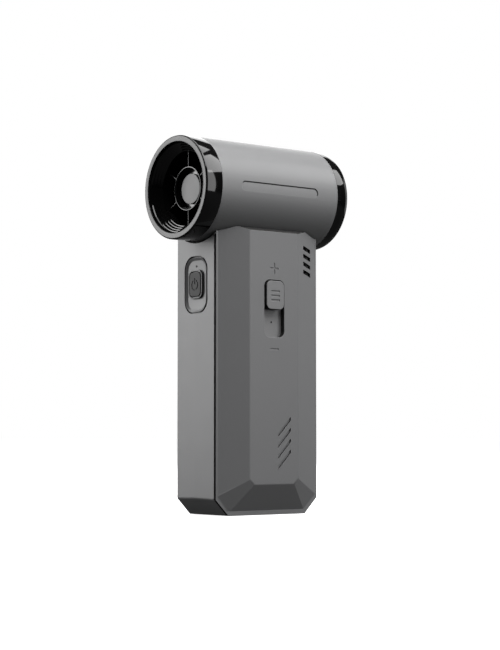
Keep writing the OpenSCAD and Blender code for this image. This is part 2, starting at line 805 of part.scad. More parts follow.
module bearing_outer_races() {
  color("#c9cbce") in_head() at_bearings() difference() {
    tube_y(bearing_r, bearing_r - race_t, 0, bearing_w);
    ball_groove();
  }
}

module bearing_inner_races() {
  color("#c9cbce") in_head() at_bearings() difference() {
    tube_y(shaft_r + race_t * 0.8, shaft_r + pilot_gap, 0, bearing_w);
    ball_groove();
  }
}

// Path of the balls between the races
module ball_groove() {
  translate([0, bearing_w / 2, 0]) rotate([-90, 0, 0]) rotate_extrude()
    translate([ball_path_r, 0]) circle(r = ball_r + fit);
}

module bearing_balls() {
  color("#e4e5e7") in_head() at_bearings() for (k = [0 : ball_count - 1])
    rotate([0, k * 360 / ball_count, 0]) translate([ball_path_r, bearing_w / 2, 0]) sphere(r = ball_r);
}

module motor_shaft() {
  color("#d5d7da") in_head() rod_y(shaft_r, front_bearing_y + 0.3, impeller_y1 + nut_l - 0.6);
}

module rotor_magnet() {
  y_mid = stator_y0 + stator_l / 2;
  color("#55575c") in_head()
    tube_y(magnet_r, shaft_r + pilot_gap, y_mid - magnet_l / 2, y_mid + magnet_l / 2);
}

module impeller() {
  nose = [for (a = [0 : 15 : 90]) [impeller_nose_r + (hub_r - 0.4 - impeller_nose_r) * cos(a),
                                   impeller_y0 + 2 + (impeller_l - 2) * sin(a)]];
  blade_y = impeller_y0 + impeller_l / 2 - 0.6;
  reach = duct_r - tip_gap;
  color("#34363a") in_head() difference() {
    union() {
      turned_y(concat([[0, impeller_y0], [hub_r - 0.4, impeller_y0]], nose, [[0, impeller_y1]]));
      for (k = [0 : blade_count - 1]) rotate([0, k * 360 / blade_count, 0]) intersection() {
        translate([0, blade_y, 0]) rotate([blade_angle, 0, 0])
          box([impeller_nose_r, -blade_chord / 2, -blade_t / 2], [reach + 2, blade_chord / 2, blade_t / 2]);
        rod_y(reach, impeller_y0, impeller_y1);
      }
    }
    rod_y(shaft_r + pilot_gap, impeller_y0 - cut, impeller_y1 + cut);
  }
}

module impeller_nut() {
  color("#b9bbbe") in_head() difference() {
    rod_y(impeller_nose_r - 1.2, impeller_y1, impeller_y1 + nut_l);
    rod_y(shaft_r + pilot_gap, impeller_y1 - cut, impeller_y1 + nut_l - 0.5);
  }
}

// ---- power button ----

module power_panel() {
  color("#7c7d80") difference() {
    union() {
      difference() {
        plate_y(panel_w - seat_gap, panel_h - seat_gap, panel_round - seat_gap / 2,
                face_y + crease_d, panel_back_y, panel_x, panel_z);
        plate_y(panel_w - 2 * panel_rim, panel_h - 2 * panel_rim, panel_round - panel_rim,
                face_y - 1, panel_floor_y, panel_x, panel_z);
      }
      plate_y(button_w + 2 * bezel_t, button_h + 2 * bezel_t, button_round + bezel_t, face_y - bezel_proud,
              panel_back_y, button_x, button_z);
    }
    plate_y(button_w + 2 * seat_gap, button_h + 2 * seat_gap, button_round + seat_gap, face_y - 1,
            panel_back_y + cut, button_x, button_z);
    translate([button_x, 0, lens_z]) rod_y(lens_r + fit, face_y, panel_back_y + cut);
  }
}

module power_button() {
  front = face_y - button_proud;
  color("#55565a") difference() {
    union() {
      plate_y(button_w, button_h, button_round, front, flange_y + flange_t, button_x, button_z);
      plate_y(button_w + 2 * flange_w, button_h + 2 * flange_w, button_round + flange_w,
              flange_y, flange_y + flange_t, button_x, button_z);
      translate([button_x, 0, button_z]) rod_y(nub_r, flange_y, plunger_y);
    }
    // power mark
    translate([button_x, 0, button_z - 0.3]) {
      difference() {
        tube_y(mark_ring_r, mark_ring_r - 0.5, front - cut, front + mark_d);
        box([-1, front - 1, 0], [1, front + 1, mark_ring_r + 1]);
      }
      box([-0.25, front - cut, 0.4], [0.25, front + mark_d, mark_ring_r + 0.7]);
    }
  }
}

module switch_plunger() {
  color("#c8b48a") translate([button_x, 0, button_z]) rod_y(plunger_r, plunger_y, plunger_y + plunger_l);
}

module tact_switch() {
  color("#2b2c2f") difference() {
    plate_y(switch_w, switch_w, 0.5, switch_y, button_board_y, button_x, button_z);
    translate([button_x, 0, button_z])
      rod_y(plunger_r + fit, switch_y - cut, plunger_y + plunger_l + button_travel + 0.1);
  }
}

module button_board() {
  color("#1f6b3a") difference() {
    box([button_x - button_board_half_x, button_board_y, button_board_z0],
        [button_x + button_board_half_x, button_board_y + button_board_t, button_board_z1]);
    for (s = [-1, 1]) translate([button_x + s * button_post_dx, 0, button_post_z])
      rod_y(small_screw_r + hole_gap, button_board_y - cut, button_board_y + button_board_t + cut);
  }
}

module status_led() {
  color("#e8e9dd") plate_y(1.6, 1.2, 0.2, button_board_y - led_t, button_board_y, button_x, lens_z);
}

module indicator_lens() {
  color("#202124") translate([button_x, 0, lens_z]) {
    rod_y(lens_r, panel_floor_y - 0.1, button_board_y - led_t - 0.05);
    rod_y(lens_r + 0.5, panel_back_y, panel_back_y + 0.6);
  }
}

// ---- speed slider ----

module speed_knob() {
  front = right_flat_x + knob_proud;
  color("#7f8083") difference() {
    plate_x(knob_w, knob_h, knob_round, shutter_x, front, 0, knob_z);
    for (i = [-1 : 1])
      box([front - groove_grip_d, -mark_r, knob_z - grip_drop + i * grip_pitch - grip_w / 2],
          [front + cut, mark_r, knob_z - grip_drop + i * grip_pitch + grip_w / 2]);
    lever_hole(shutter_x - cut, shutter_x + 2);
  }
}

// Square hole for the lever of the slide potentiometer
module lever_hole(x0, x1) {
  box([x0, -lever_half_y - fit, knob_z - lever_half_z - fit],
      [x1, lever_half_y + fit, knob_z + lever_half_z + fit]);
}

module slider_shutter() {
  color("#76777a") difference() {
    box([shutter_x - shutter_t, -shutter_half_y, shutter_z0], [shutter_x, shutter_half_y, shutter_z1]);
    lever_hole(shutter_x - shutter_t - cut, shutter_x + cut);
    rod_x(0.45, shutter_x - 0.3, shutter_x + cut, [0.2, knob_z - knob_travel + 0.1]);
  }
}

module pot_lever() {
  color("#d8d9da") box([board_x1 + pot_floor + 0.2, -lever_half_y, knob_z - lever_half_z],
                       [shutter_x + 1.9, lever_half_y, knob_z + lever_half_z]);
}

module slide_pot() {
  slot_half_z = knob_travel / 2 + lever_half_z + seat_gap;
  color("#9fa1a5") difference() {
    box([board_x1, -pot_half_y, pot_z - pot_half_z], [pot_x1, pot_half_y, pot_z + pot_half_z]);
    box([board_x1 + pot_floor, -lever_half_y - seat_gap, pot_z - slot_half_z],
        [pot_x1 + cut, lever_half_y + seat_gap, pot_z + slot_half_z]);
  }
}

// ---- boards ----

module main_board() {
  color("#1c5f36") difference() {
    box([board_x0, -board_half_y, board_z0], [board_x1, board_half_y, board_z1]);
    for (p = board_places()) rod_x(small_screw_r + hole_gap, board_x0 - cut, board_x1 + cut, p);
  }
}

module board_chips() {
  color("#26272b") {
    chip(controller_w, controller_y, controller_z);
    // three pairs of drive transistors
    for (i = [0 : 2], k = [0, 1])
      chip(transistor_w, transistor_y + k * transistor_pitch, transistor_z + i * transistor_pitch);
    chip(charger_w, charger_y, charger_z);
  }
}

// A square chip on the main board: its width and its corner, as y and height above the board's foot
module chip(w, y, z) {
  box([board_x0 - chip_t, y, board_z0 + z], [board_x0, y + w, board_z0 + z + w]);
}

module capacitors() {
  color("#2d3a55") for (y = [-can_y, can_y])
    rod_x(can_r, board_x0 - can_l, board_x0, [y, board_z0 + can_z]);
}

module wire_connectors() {
  color("#e9e6da") {
    box([board_x0 - connector_t, lead_y - connector_w / 2, connector_z0],
        [board_x0, lead_y + connector_w / 2, connector_z1]);
    for (s = [-1, 1])
      box([board_x0 - connector_t, s * cell_y - cell_plug_w / 2, cell_plug_z0],
          [board_x0, s * cell_y + cell_plug_w / 2, cell_plug_z1]);
  }
}

module usb_board() {
  color("#1f6b3a") difference() {
    box([crease_x - usb_half_x + 0.3, half_y - usb_board_l - wall + 0.3, usb_z],
        [crease_x + usb_half_x - 0.3, half_y - wall - seat_gap, usb_z + usb_board_t]);
    for (s = [-1, 1]) translate([crease_x + s * usb_screw_dx, usb_screw_y, usb_z - cut])
      cylinder(r = small_screw_r + hole_gap, h = usb_board_t + 2 * cut);
  }
}

module usb_port() {
  z = usb_z + usb_board_t + usb_h / 2;
  y1 = half_y - 0.5;
  color("#c4c6c9") {
    difference() {
      plate_y(usb_w, usb_h, usb_h / 2 - cut, y1 - usb_l, y1, crease_x, z);
      plate_y(usb_w - 0.6, usb_h - 0.6, usb_h / 2 - 0.4, y1 - usb_l + 0.6, y1 + cut, crease_x, z);
    }
    plate_y(usb_w - 2.2, 0.7, 0.2, y1 - usb_l + 0.4, y1 - 0.6, crease_x, z);
  }
}

// ---- battery ----

module battery_cells() {
  color("#2f6d8f") for (s = [-1, 1])
    translate([cell_x, s * cell_y, cell_z0]) cylinder(r = cell_r, h = cell_l);
}

module battery_cradle() {
  foot_z = cell_z0 - strip_t;
  color("#303236") difference() {
    intersection() {
      handle_solid(wall + seat_gap);
      union() {
        box([cradle_x0, -cradle_half_y, foot_z - cradle_floor], [cradle_x1, cradle_half_y, cell_z1 + 1]);
        box([cradle_x0, -cradle_floor_y, foot_z - cradle_floor],
            [cell_x + cell_r - 1, cradle_floor_y, foot_z]);
      }
    }
    for (s = [-1, 1]) translate([cell_x, s * cell_y, foot_z]) cylinder(r = cell_r + cell_clear, h = far);
    // passage for the strip between the cells
    box([cell_x - strip_half - seat_gap, -cell_y, foot_z], [far, cell_y, cell_z0 + seat_gap]);
  }
}

module nickel_strips() {
  color("#cfd1d4") {
    box([cell_x - strip_half, -cell_y - strip_half, cell_z0 - strip_t],
        [cell_x + strip_half, cell_y + strip_half, cell_z0]);
    for (s = [-1, 1])
      box([cell_x - strip_half, s * cell_y - strip_half, cell_z1],
          [cell_x + strip_half, s * cell_y + strip_half, cell_z1 + strip_t]);
  }
}

module battery_leads() {
  color("#b3261e") difference() {
    for (s = [-1, 1])
      wire([[cell_x + 1, s * cell_y, cell_z1 + strip_t + 0.8], [cell_lead_x, s * cell_y, cell_lead_z],
            [board_x0 - connector_t, s * cell_y, cell_lead_z]], cell_lead_r);
    // flush with the connectors
    box([board_x0 - connector_t, -far, board_z0], [far, far, board_z1]);
  }
}

module foam_pads() {
  color("#3a3b3e") for (z = rib_z)
    box([pad_x0, -rib_half_y - 3, z - pad_half_z], [pad_x0 + pad_t, rib_half_y + 3, z + pad_half_z]);
}

// ---- fasteners ----

// A screw along +X with its head's seat at x = 0: shank r, head head_r and head_l
module screw_x(r, head_r, head_l, l) {
  difference() {
    union() {
      rod_x(r, 0, l, [0, 0]);
      rod_x(head_r, -head_l, 0, [0, 0]);
    }
    for (a = [0, 90]) rotate([a, 0, 0])
      box([-head_l - cut, -head_r * 0.6, -head_r * 0.15], [-head_l * 0.4, head_r * 0.6, head_r * 0.15]);
  }
}

module case_screws() {
  color("#3b3c3f") for (p = case_places()) translate([case_seat_x, p[0], p[1]])
    screw_x(screw_r, screw_head_r, head_t, case_screw_l);
}

module neck_screws() {
  color("#b9bbbe") for (s = [-1, 1])
    translate([neck_tab_t / 2, s * neck_tab_y, neck_screw_z]) rotate([0, 0, 180])
      screw_x(screw_r, screw_head_r, 1.6, neck_screw_l);
}

module board_screws() {
  color("#b9bbbe") {
    for (p = board_places()) translate([board_x0, p[0], p[1]])
      screw_x(small_screw_r, 1.6, small_head_l, small_screw_l);
    for (s = [-1, 1]) {
      translate([crease_x + s * usb_screw_dx, usb_screw_y, usb_z + usb_board_t]) rotate([0, 90, 0])
        screw_x(small_screw_r, 1.6, small_head_l, small_screw_l);
      translate([button_x + s * button_post_dx, button_board_y + button_board_t, button_post_z])
        rotate([0, 0, -90]) screw_x(small_screw_r, 1.6, small_head_l, small_screw_l - 0.5);
    }
  }
}

main_shell();
side_cover();
barrel();
outlet_ring();
inlet_ring();
inlet_grille();
inlet_bell();
fan_duct();
hub_cap();
damper_rings();
stator_core();
stator_coils();
motor_board();
motor_leads();
bearing_outer_races();
bearing_balls();
bearing_inner_races();
motor_shaft();
rotor_magnet();
impeller();
impeller_nut();
power_panel();
power_button();
switch_plunger();
tact_switch();
button_board();
status_led();
indicator_lens();
speed_knob();
slider_shutter();
pot_lever();
slide_pot();
main_board();
board_chips();
capacitors();
wire_connectors();
usb_board();
usb_port();
battery_cells();
battery_cradle();
nickel_strips();
battery_leads();
foam_pads();
case_screws();
neck_screws();
board_screws();
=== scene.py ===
"""Looks of a cordless air pump: a ducted fan in a barrel head on a faceted handle, on a pale table.

Pieces are drawn in millimetres and stored in metres. +Z is up, air leaves towards -Y, and the speed
slider faces +X. Y is also the fan's axis, at a height of 143.85 mm.
"""

import math

import bmesh
import bpy
import numpy as np
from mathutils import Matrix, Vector


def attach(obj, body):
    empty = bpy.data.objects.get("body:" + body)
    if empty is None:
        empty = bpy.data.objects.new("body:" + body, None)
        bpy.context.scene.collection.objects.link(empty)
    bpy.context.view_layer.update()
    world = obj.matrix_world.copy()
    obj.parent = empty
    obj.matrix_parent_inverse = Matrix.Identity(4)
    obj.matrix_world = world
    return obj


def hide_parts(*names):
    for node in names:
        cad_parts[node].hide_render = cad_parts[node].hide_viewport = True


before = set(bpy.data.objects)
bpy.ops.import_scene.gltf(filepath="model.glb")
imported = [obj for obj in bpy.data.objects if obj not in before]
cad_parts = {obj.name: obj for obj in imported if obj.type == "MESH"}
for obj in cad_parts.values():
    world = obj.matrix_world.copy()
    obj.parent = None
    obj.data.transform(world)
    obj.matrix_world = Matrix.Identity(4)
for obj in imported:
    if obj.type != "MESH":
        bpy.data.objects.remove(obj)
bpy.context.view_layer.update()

# ---------------------------------------------------------------------------------------------
# The studio. A long lens looks slightly up at the pump from the front right. The surround is white
# to the camera and dim to the pump, so that soft boxes alone shape it.
# ---------------------------------------------------------------------------------------------

scene = bpy.context.scene
scene.view_settings.view_transform = "Standard"

camera_data = bpy.data.cameras.new("camera")
camera_data.sensor_width = 36
camera_data.lens = 98.32
camera = bpy.data.objects.new("camera", camera_data)
camera.location = (0.62305, -0.50223, 0.03571)
camera.rotation_euler = Vector((-0.7764, 0.6272, 0.0612)).to_track_quat("-Z", "Y").to_euler()
scene.collection.objects.link(camera)
scene.camera = camera


def soft_box(name, azimuth, elevation, distance, width, height, power):
    """A rectangular lamp that faces the pump's middle. Azimuth 0 stands on +X and 90 on +Y, in degrees."""
    a, e = math.radians(azimuth), math.radians(elevation)
    out = Vector((math.cos(a) * math.cos(e), math.sin(a) * math.cos(e), math.sin(e)))
    data = bpy.data.lights.new(name, "AREA")
    data.shape = "RECTANGLE"
    data.size, data.size_y = width, height
    data.energy = power
    lamp = bpy.data.objects.new(name, data)
    lamp.location = Vector((0, 0, 0.09)) + out * distance
    lamp.rotation_euler = (-out).to_track_quat("-Z", "Y").to_euler()
    scene.collection.objects.link(lamp)


soft_box("front_left_box", 222, 16, 0.9, 0.45, 0.9, 8.6)
soft_box("right_low_box", 28, 14, 0.9, 0.4, 0.6, 2.3)
soft_box("rear_right_box", 52, 42, 0.9, 0.5, 0.42, 3.3)
soft_box("rear_low_box", 84, 10, 0.9, 0.35, 0.6, 0.6)
soft_box("behind_box", 140, 25, 1.2, 0.9, 0.7, 4.0)
soft_box("overhead_box", 60, 82, 0.9, 0.8, 0.8, 6.8)
soft_box("front_right_high_box", -10, 55, 1.0, 0.7, 0.5, 6.6)

world = bpy.data.worlds.new("surround")
world.use_nodes = True
scene.world = world
tree = world.node_tree
tree.nodes.clear()
rays = tree.nodes.new("ShaderNodeLightPath")
seen = tree.nodes.new("ShaderNodeMath")
seen.operation = "MAXIMUM"
dim = tree.nodes.new("ShaderNodeBackground")
dim.inputs["Color"].default_value = (0.9, 0.9, 0.92, 1)
dim.inputs["Strength"].default_value = 0.01
white = tree.nodes.new("ShaderNodeBackground")
white.inputs["Color"].default_value = (1, 1, 1, 1)
white.inputs["Strength"].default_value = 1.0
pick = tree.nodes.new("ShaderNodeMixShader")
out = tree.nodes.new("ShaderNodeOutputWorld")
tree.links.new(rays.outputs["Is Camera Ray"], seen.inputs[0])
tree.links.new(rays.outputs["Is Transmission Ray"], seen.inputs[1])
tree.links.new(seen.outputs[0], pick.inputs["Fac"])
tree.links.new(dim.outputs[0], pick.inputs[1])
tree.links.new(white.outputs[0], pick.inputs[2])
tree.links.new(pick.outputs[0], out.inputs["Surface"])

# The table: a plain pale disc. To the camera it is white paper that keeps the pump's shadow, and it
# throws only a little light up at the pump.
floor_mesh = bpy.data.meshes.new("table")
turn = np.linspace(0, 2 * np.pi, 96, endpoint=False)
floor_mesh.from_pydata([(12 * math.cos(t), 12 * math.sin(t), -0.0002) for t in turn], [], [tuple(range(96))])
floor = bpy.data.objects.new("table", floor_mesh)
scene.collection.objects.link(floor)
m = bpy.data.materials.new("table_paper")
m.use_nodes = True
tree = m.node_tree
paper = tree.nodes["Principled BSDF"]
paper.inputs["Base Color"].default_value = (0.04, 0.04, 0.04, 1)
paper.inputs["Roughness"].default_value = 0.9
paper.inputs["Specular IOR Level"].default_value = 0.0
rays = tree.nodes.new("ShaderNodeLightPath")
glow = tree.nodes.new("ShaderNodeEmission")
glow.inputs["Color"].default_value = (1, 1, 1, 1)
# far from the pump the paper is pure white, and runs into the surround without a line
place = tree.nodes.new("ShaderNodeTexCoord")
reach = tree.nodes.new("ShaderNodeVectorMath")
reach.operation = "LENGTH"
fade = tree.nodes.new("ShaderNodeMapRange")
fade.inputs["From Min"].default_value = 0.12
fade.inputs["From Max"].default_value = 0.7
fade.inputs["To Min"].default_value = 0.86
fade.inputs["To Max"].default_value = 1.0
tree.links.new(place.outputs["Object"], reach.inputs[0])
tree.links.new(reach.outputs["Value"], fade.inputs["Value"])
tree.links.new(fade.outputs["Result"], glow.inputs["Strength"])
pick = tree.nodes.new("ShaderNodeMixShader")
sheen = tree.nodes.new("ShaderNodeBsdfDiffuse")
sheen.inputs["Color"].default_value = (0.8, 0.8, 0.8, 1)
bright = tree.nodes.new("ShaderNodeAddShader")
tree.links.new(sheen.outputs[0], bright.inputs[0])
tree.links.new(glow.outputs[0], bright.inputs[1])
tree.links.new(rays.outputs["Is Camera Ray"], pick.inputs["Fac"])
tree.links.new(paper.outputs[0], pick.inputs[1])
tree.links.new(bright.outputs[0], pick.inputs[2])
tree.links.new(pick.outputs[0], tree.nodes["Material Output"].inputs["Surface"])
floor.data.materials.append(m)

# ---------------------------------------------------------------------------------------------
# Handle: a tub (front, rear and left side) and a faceted cover on the slider's side, moulded in
# satin grey plastic. Their faces are those of the solid model, with every outer edge rounded.
# ---------------------------------------------------------------------------------------------


def surface_group():
    """Shader group: fine moulded grain, cloudy tone, smudged gloss and dust on upward faces."""
    g = bpy.data.node_groups.new("surface_detail", "ShaderNodeTree")
    for name, kind, value in (("Color", "Color", (0.2, 0.2, 0.2, 1)), ("Roughness", "Float", 0.4),
                              ("Grain Scale", "Float", 3000.0), ("Grain Depth", "Float", 0.00001),
                              ("Mottle", "Float", 0.05), ("Smudge", "Float", 0.05), ("Dust", "Float", 0.05)):
        s = g.interface.new_socket(name, in_out="INPUT", socket_type="NodeSocket" + kind)
        s.default_value = value
    for name, kind in (("Color", "Color"), ("Roughness", "Float"), ("Normal", "Vector")):
        g.interface.new_socket(name, in_out="OUTPUT", socket_type="NodeSocket" + kind)
    n, link = g.nodes, g.links.new
    gin, gout = n.new("NodeGroupInput"), n.new("NodeGroupOutput")
    place = n.new("ShaderNodeTexCoord")

    def noise(scale, detail):
        t = n.new("ShaderNodeTexNoise")
        t.inputs["Scale"].default_value = scale
        t.inputs["Detail"].default_value = detail
        link(place.outputs["Object"], t.inputs["Vector"])
        return t

    def calc(op, a, b):
        c = n.new("ShaderNodeMath")
        c.operation = op
        for socket, v in zip(c.inputs, (a, b)):
            if isinstance(v, (int, float)):
                socket.default_value = v
            else:
                link(v, socket)
        return c.outputs[0]

    grain = noise(3000, 2)
    link(gin.outputs["Grain Scale"], grain.inputs["Scale"])
    bump = n.new("ShaderNodeBump")
    bump.inputs["Strength"].default_value = 1.0
    link(gin.outputs["Grain Depth"], bump.inputs["Distance"])
    link(grain.outputs["Fac"], bump.inputs["Height"])
    cloud = noise(45, 5)
    cloudy = calc("MULTIPLY", calc("SUBTRACT", cloud.outputs["Fac"], 0.5), gin.outputs["Mottle"])
    tone = calc("ADD", 1.0, cloudy)
    shade = n.new("ShaderNodeVectorMath")
    shade.operation = "SCALE"
    link(gin.outputs["Color"], shade.inputs[0])
    link(tone, shade.inputs["Scale"])
    form = n.new("ShaderNodeNewGeometry")
    split = n.new("ShaderNodeSeparateXYZ")
    link(form.outputs["Normal"], split.inputs[0])
    speck = noise(900, 6)
    lying = calc("MULTIPLY", calc("MAXIMUM", split.outputs["Z"], 0.0), speck.outputs["Fac"])
    dust = calc("MULTIPLY", lying, gin.outputs["Dust"])
    dusty = n.new("ShaderNodeMix")
    dusty.data_type = "RGBA"
    link(dust, dusty.inputs["Factor"])
    link(shade.outputs[0], dusty.inputs["A"])
    dusty.inputs["B"].default_value = (0.45, 0.44, 0.42, 1)
    link(dusty.outputs["Result"], gout.inputs["Color"])
    smear = noise(120, 4)
    gloss = calc("MULTIPLY", calc("SUBTRACT", smear.outputs["Fac"], 0.5), gin.outputs["Smudge"])
    link(calc("ADD", calc("ADD", gin.outputs["Roughness"], gloss), dust), gout.inputs["Roughness"])
    link(bump.outputs["Normal"], gout.inputs["Normal"])
    return g


surface_detail = surface_group()


def finish_of(name, color, rough, scale=3000, depth=0.00001, mottle=0.06, smudge=0.06, dust=0.06,
              metal=0.0, specular=0.5, coat=0.0):
    """A material with the surface group in front of its shader; colour is linear."""
    made = bpy.data.materials.new(name)
    made.use_nodes = True
    tree = made.node_tree
    p = tree.nodes["Principled BSDF"]
    d = tree.nodes.new("ShaderNodeGroup")
    d.node_tree = surface_detail
    d.inputs["Color"].default_value = (*color, 1)
    for socket, v in (("Roughness", rough), ("Grain Scale", scale), ("Grain Depth", depth),
                      ("Mottle", mottle), ("Smudge", smudge), ("Dust", dust)):
        d.inputs[socket].default_value = v
    tree.links.new(d.outputs["Color"], p.inputs["Base Color"])
    tree.links.new(d.outputs["Roughness"], p.inputs["Roughness"])
    tree.links.new(d.outputs["Normal"], p.inputs["Normal"])
    p.inputs["Metallic"].default_value = metal
    p.inputs["Specular IOR Level"].default_value = specular
    p.inputs["Coat Weight"].default_value = coat
    p.inputs["Coat Roughness"].default_value = 0.04
    return made


def weigh_normals(mesh):
    """Corner normals: the face's own on a wide facet (over 1 mm), elsewhere the sum of (area squared x
    normal) over the faces round a vertex within 50 degrees."""
    normals = np.array([f.normal for f in mesh.polygons])
    weights = np.array([f.area for f in mesh.polygons]) * 1e6
    around = [[] for _ in mesh.vertices]
    for f in mesh.polygons:
        for v in f.vertices:
            around[v].append(f.index)
    corners = np.zeros((len(mesh.loops), 3))
    spots = np.array([v.co for v in mesh.vertices]) * 1000
    for f in mesh.polygons:
        ring = spots[list(f.vertices)]
        mean_width = 2 * f.area * 1e6 / np.linalg.norm(ring - np.roll(ring, 1, 0), axis=1).sum()
        if mean_width > 1.0:
            corners[f.loop_start:f.loop_start + f.loop_total] = f.normal
            continue
        for i in f.loop_indices:
            near = np.array(around[mesh.loops[i].vertex_index])
            near = near[normals[near] @ normals[f.index] > 0.64]
            corners[i] = (normals[near] * (weights[near] ** 2 + 1e-9)[:, None]).sum(0)
    corners /= np.linalg.norm(corners, axis=1)[:, None] + 1e-12
    mesh.normals_split_custom_set(corners.tolist())


def rounded_copy(node, name, material, width_of, body="housing", segments=3, move=None):
    """The node's own faces, merged and with flat regions joined, and its edges rounded by a Bevel.

    width_of(x, y, z, length, convex, n1, n2) gives an edge's width in mm, 0 for an edge left sharp.
    An edge is rounded where its faces meet at over 9 degrees, or over 2.5 between two large facets.
    move(x, y, z) gives a shift in mm for a corner before the edges are rounded.
    """
    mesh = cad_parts[node].data.copy()
    mesh.name = name
    bm = bmesh.new()
    bm.from_mesh(mesh)
    bm.transform(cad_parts[node].matrix_world)
    bmesh.ops.remove_doubles(bm, verts=bm.verts, dist=2e-6)
    bmesh.ops.dissolve_degenerate(bm, edges=bm.edges, dist=2e-6)
    bmesh.ops.dissolve_limit(bm, angle_limit=math.radians(1.2), verts=bm.verts, edges=bm.edges)
    bmesh.ops.recalc_face_normals(bm, faces=bm.faces)
    if move:
        for v in bm.verts:
            v.co += Vector(move(*(v.co * 1000))) / 1000
    weight = bm.edges.layers.float.new("bevel_weight_edge")
    for e in bm.edges:
        e.smooth = True
        if len(e.link_faces) != 2:
            continue
        bend = e.calc_face_angle(0)
        facets = min(f.calc_area() for f in e.link_faces) * 1e6 > 12 and e.calc_length() > 0.004
        if bend < math.radians(2.5 if facets else 9):
            continue
        mid = (e.verts[0].co + e.verts[1].co) * 500
        a, b = (f.normal for f in e.link_faces)
        e[weight] = min(1.0, width_of(*mid, e.calc_length() * 1000, e.is_convex, a, b))
        if e[weight] == 0:
            e.smooth = False
    for f in bm.faces:
        f.smooth = True
    bm.to_mesh(mesh)
    bm.free()
    mesh.materials.clear()
    mesh.materials.append(material)
    copy = bpy.data.objects.new(name, mesh)
    scene.collection.objects.link(copy)
    round_edges = copy.modifiers.new("round_edges", "BEVEL")
    round_edges.limit_method = "WEIGHT"
    round_edges.width = 0.001
    round_edges.segments = segments
    round_edges.use_clamp_overlap = False
    done = bpy.data.meshes.new_from_object(copy.evaluated_get(bpy.context.evaluated_depsgraph_get()))
    copy.modifiers.clear()
    copy.data = done
    weigh_normals(done)
    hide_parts(node)
    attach(copy, body)
    return copy


def hull_planes(node):
    """Planes of the node's big outer faces: unit normals and offsets in mm, found on its own mesh."""
    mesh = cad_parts[node].data
    points = np.array([v.co for v in mesh.vertices]) * 1000
    found = {}
    for f in mesh.polygons:
        n = np.array(f.normal)
        d = float(n @ points[f.vertices[0]])
        if f.area * 1e6 > 4 and (points @ n).max() - d < 0.6:
            found[tuple(np.round(n, 2)) + (round(d, 1),)] = (n, d)
    normals = np.array([v[0] for v in found.values()])
    return normals, np.array([v[1] for v in found.values()])


def depth_under(planes, x, y, z):
    """How far a point lies inside the nearest of the planes, in mm."""
    normals, offsets = planes
    return (offsets - normals @ np.array((x, y, z))).min()


axis_z = 143.85     # height of the fan's axis
saddle_r = 23.7     # radius of the hollow in the handle's top, under the barrel
panel_x, panel_z = -0.8, 101.45     # middle of the button's window in the front face

shell_grey = finish_of("shell_satin_grey", (0.165, 0.166, 0.169), 0.42, depth=0.000006, dust=0.04)
shell_planes = hull_planes("main_shell")


def shell_edge(x, y, z, length, *_):
    """Widths on the tub: saddle, button window, port, screw holes, rim at the parting gap, and facets."""
    depth = depth_under(shell_planes, x, y, z)
    if abs(math.hypot(x, z - axis_z) - saddle_r) < 0.3:
        return 0.3
    if abs(x - panel_x) < 8.8 and y < -27.5 and 88 < z < 114.6:
        return 0.1 if y < -29 else 0.0
    if abs(x + 1) < 5 and y > 27.5 and 90 < z < 95:
        return 0.25 if y > 28.6 else 0.0
    if x < -16 and length < 1.2:
        return 0.15
    if x > 12.0 and depth < 0.6:
        return 0.16
    if depth < 0.4 and length > 0.6:
        return 0.55 if abs(x + 14.6) > 0.3 else 0.3
    return 0.0


def lined(piece, inside, lining):
    """Gives the faces whose middle passes inside(x, y, z, normal) a second material."""
    piece.data.materials.append(lining)
    for f in piece.data.polygons:
        if inside(*(f.center * 1000), f.normal):
            f.material_index = 1


# The parting gap opens wider at the surface: the tub's rim at X 12.6 stands back by this much.
shell_rim_back = 0.42
# A near-black colour for painted shade: it darkens gaps, slots, grooves and hollows of the grey plastic
# where shade falls.
painted_shade_black = finish_of("painted_shade_black", (0.008, 0.008, 0.008), 0.7, mottle=0.2)
main_shell = rounded_copy("main_shell", "handle_tub", shell_grey, shell_edge,
                          move=lambda x, y, z: (-shell_rim_back if x > 12.5 else 0.0, 0, 0))
# painted shade: the rim's face in the parting gap, the window's walls, the saddle's gap and the inside are
# painted black, where shade falls on the same grey plastic
lined(main_shell, lambda x, y, z, n: (n.x > 0.98 and x > 12.1)
      or (abs(x - panel_x) < 8.4 and -29.0 < y < -28.0 and abs(z - panel_z) < 12.8 and abs(n.y) < 0.2)
      or (z > 110 and n.z > 0.6)
      or depth_under(shell_planes, x, y, z) > 1.5, painted_shade_black)

cover_grey = finish_of("cover_satin_grey", (0.155, 0.156, 0.159), 0.42, depth=0.000006, dust=0.04)
cover_planes = hull_planes("side_cover")


def in_slot(y, z):
    """Where the slider's slot is in the cover's flat."""
    return abs(y) < 5.9 and 78 < z < 104.2


def in_grooves(y, z):
    """Where the four grip grooves are in the cover's flat."""
    return 1.9 < y < 9.7 and 19 < z < 44


def in_vents(y, z):
    """Where the four cooling slots are in the cover's rear bevel."""
    return 18 < y < 24.5 and z > 106


def cover_edge(x, y, z, length, _, a, b):
    """Widths on the cover: rim, saddle, slider's slot, plus and minus, grooves, cooling slots, facets."""
    depth = depth_under(cover_planes, x, y, z)
    if x < 13.4:
        return 0.12 if depth < 0.5 and x > 13.1 else 0.0
    if abs(math.hypot(x, z - axis_z) - saddle_r) < 0.3 or (z > 117 and max(a.z, b.z) > 0.6):
        return 0.07
    if x > 18.2:
        if in_slot(y, z):
            return 0.2
        if abs(y) < 2.6 and (106.4 < z < 111.8 or 72.5 < z < 74):
            return 0.05
        if in_grooves(y, z):
            return 0.08
    if in_vents(y, z) and x > 13.7:
        return 0.08 if depth < 0.3 else 0.0
    if depth < 0.4 and length > 0.6:
        if x < 13.9:
            return 0.13
        return 0.5 if z > 13.6 else 0.3
    return 0.0


